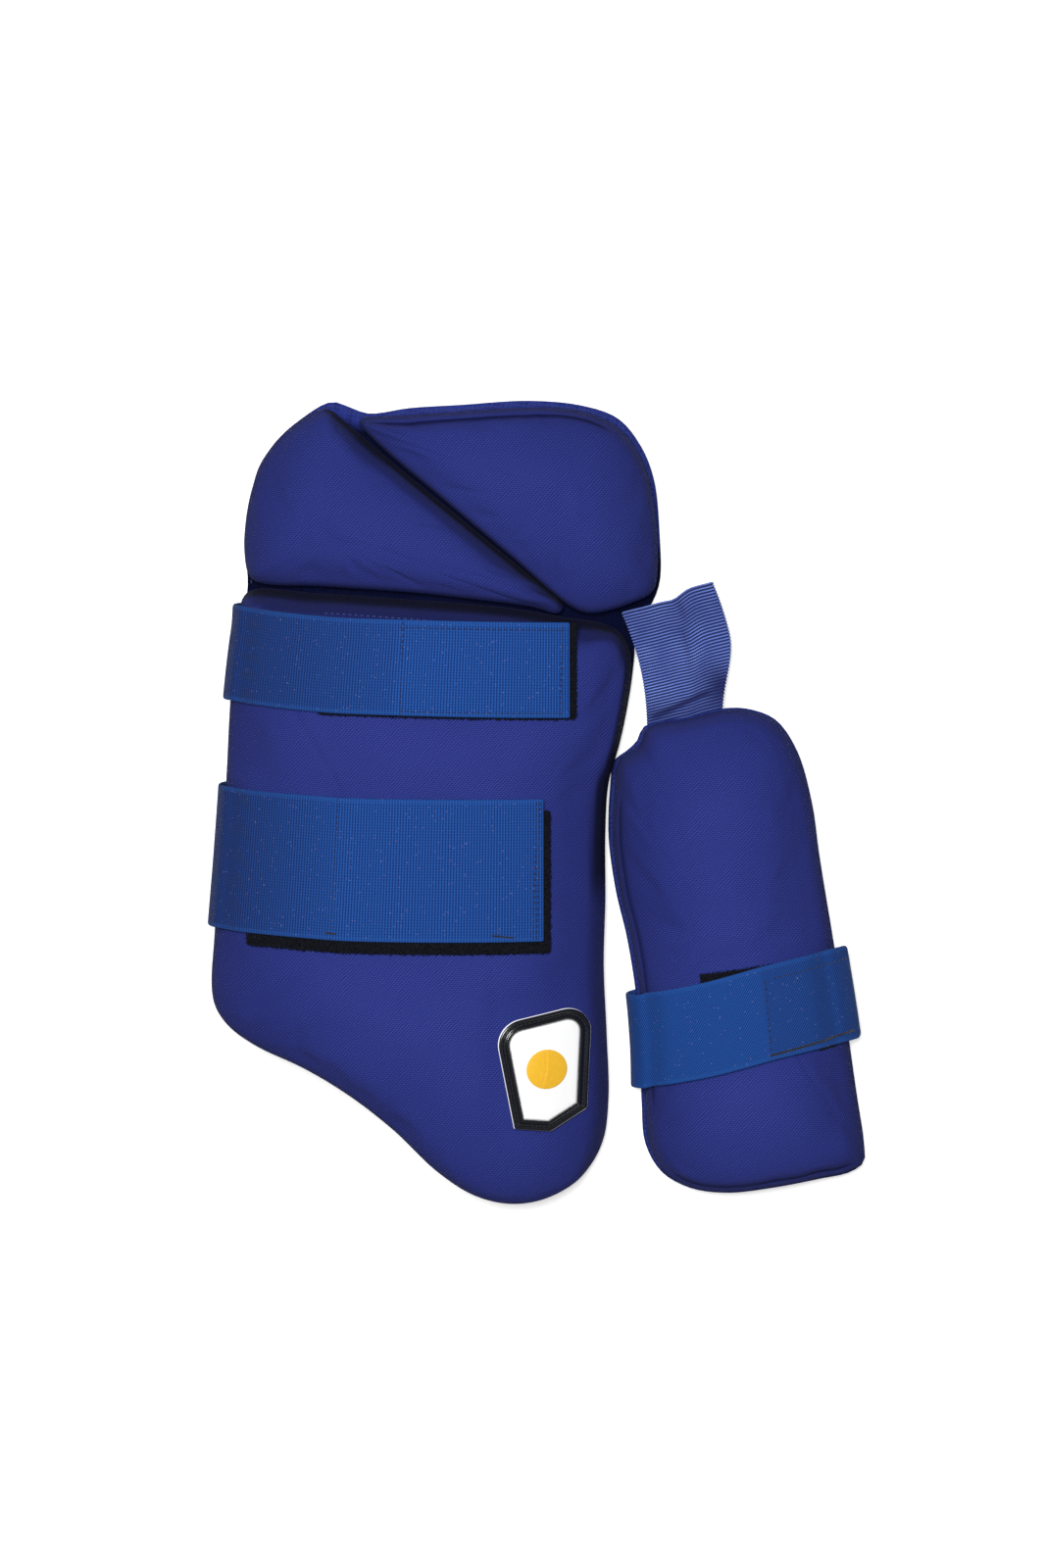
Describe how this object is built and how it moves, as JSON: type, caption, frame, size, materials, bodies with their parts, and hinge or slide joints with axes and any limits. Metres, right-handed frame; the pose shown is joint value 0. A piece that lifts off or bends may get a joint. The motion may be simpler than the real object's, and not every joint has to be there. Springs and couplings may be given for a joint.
{
  "type": "cricket thigh guard",
  "caption": "Padded cricket thigh guard lying on its back: a curved outer guard joined to a smaller inner guard, with elastic wrap straps, a webbing loop and a raised badge.",
  "frame": {"origin": "centre of the bounding box in plan, on the floor that the guard lies on", "axes": "+X across the guards towards the inner guard, +Y up the leg towards the waist end, +Z out of the padded front"},
  "size_m": [0.3494, 0.4234, 0.0717],
  "materials": {
    "pad_cloth": "matt woven cloth over foam",
    "backing_cloth": "matt woven lining cloth",
    "webbing": "ribbed webbing",
    "elastic": "ribbed woven elastic",
    "loop_pile": "fuzzy loop pile",
    "badge_rubber": "satin moulded rubber",
    "badge_white": "glossy moulded rubber",
    "badge_yellow": "glossy moulded rubber"
  },
  "bodies": {
    "root": {"thigh_pad": "pad_cloth", "hip_pad_left": "pad_cloth", "hip_pad_right": "pad_cloth", "guard_backing": "backing_cloth", "inner_pad": "pad_cloth", "inner_backing": "backing_cloth", "webbing_loop": "webbing", "upper_strap": "elastic", "lower_strap": "elastic", "inner_strap": "elastic", "upper_loop_patch": "loop_pile", "lower_loop_patch": "loop_pile", "inner_loop_patch": "loop_pile", "badge_border": "badge_rubber", "badge_face": "badge_white", "badge_ball": "badge_yellow"}
  },
  "joints": []
}
